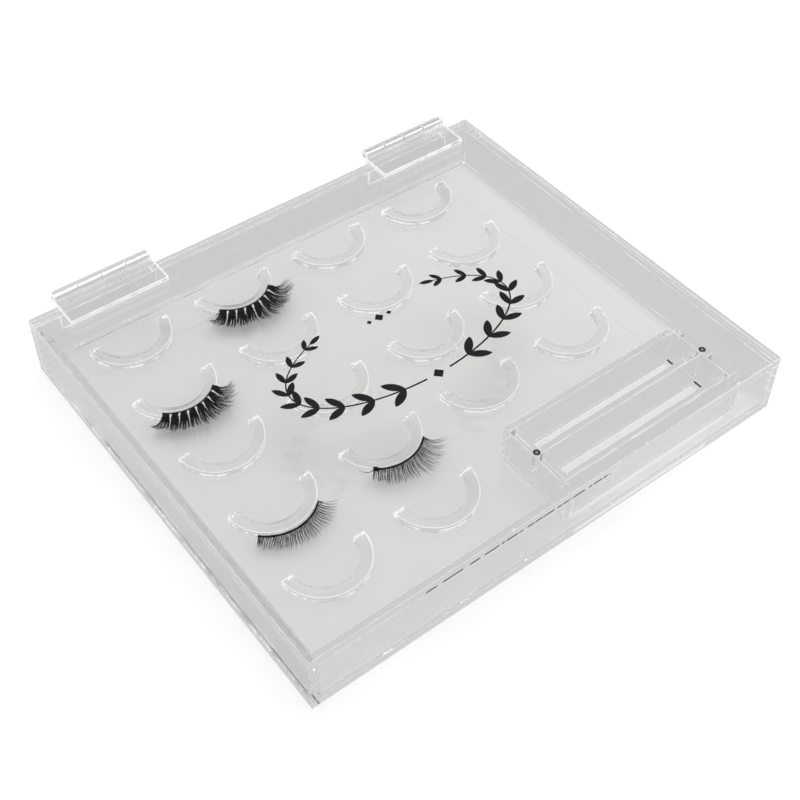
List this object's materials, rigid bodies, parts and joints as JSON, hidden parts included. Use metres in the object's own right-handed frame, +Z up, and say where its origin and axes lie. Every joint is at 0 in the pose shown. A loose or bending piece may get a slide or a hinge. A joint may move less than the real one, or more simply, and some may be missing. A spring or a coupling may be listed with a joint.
{
  "type": "false eyelash case",
  "caption": "Shallow clear acrylic case with a hinged lid, rows of half-ring holders for strip lashes and a small open compartment.",
  "frame": {"origin": "middle of the underside of the case", "axes": "+X along the hinge edge to the compartment's side, +Y towards the hinges, +Z up"},
  "size_m": [0.23, 0.2061, 0.0343],
  "materials": {
    "clear_acrylic": "clear cast acrylic sheet, polished edges",
    "hinge_acrylic": "clear moulded acrylic",
    "pin_steel": "drawn steel rod",
    "magnet_nickel": "nickel-plated magnet",
    "lash_fibre": "black synthetic fibre"
  },
  "bodies": {
    "case": {"base_plate": "clear_acrylic", "back_wall": "clear_acrylic", "front_wall": "clear_acrylic", "left_wall": "clear_acrylic", "right_wall": "clear_acrylic", "case_leaf_left": "hinge_acrylic", "case_leaf_right": "hinge_acrylic", "hinge_pin_left": "pin_steel", "hinge_pin_right": "pin_steel", "holder_r1c1": "clear_acrylic", "holder_r1c2": "clear_acrylic", "holder_r1c3": "clear_acrylic", "holder_r1c4": "clear_acrylic", "holder_r2c1": "clear_acrylic", "holder_r2c2": "clear_acrylic", "holder_r2c3": "clear_acrylic", "holder_r2c4": "clear_acrylic", "holder_r3c1": "clear_acrylic", "holder_r3c2": "clear_acrylic", "holder_r3c3": "clear_acrylic", "holder_r3c4": "clear_acrylic", "holder_r4c1": "clear_acrylic", "holder_r4c2": "clear_acrylic", "holder_r4c3": "clear_acrylic", "holder_r4c4": "clear_acrylic", "holder_r5c1": "clear_acrylic", "holder_r5c2": "clear_acrylic", "tray_back_wall": "clear_acrylic", "tray_front_wall": "clear_acrylic", "tray_divider": "clear_acrylic", "tray_left_end": "clear_acrylic", "tray_right_end": "clear_acrylic", "magnet_left": "magnet_nickel", "magnet_right": "magnet_nickel", "lash_1": "lash_fibre", "lash_2": "lash_fibre", "lash_3": "lash_fibre", "lash_4": "lash_fibre"},
    "lid": {"lid_panel": "clear_acrylic", "lid_leaf_left": "hinge_acrylic", "lid_leaf_right": "hinge_acrylic"}
  },
  "joints": [
    {"name": "lid_hinge", "type": "hinge", "parent": "case", "child": "lid", "pos_m": [0, 0.1031, 0.0318], "axis": [-1, 0, 0], "range_deg": [0, 180]}
  ]
}
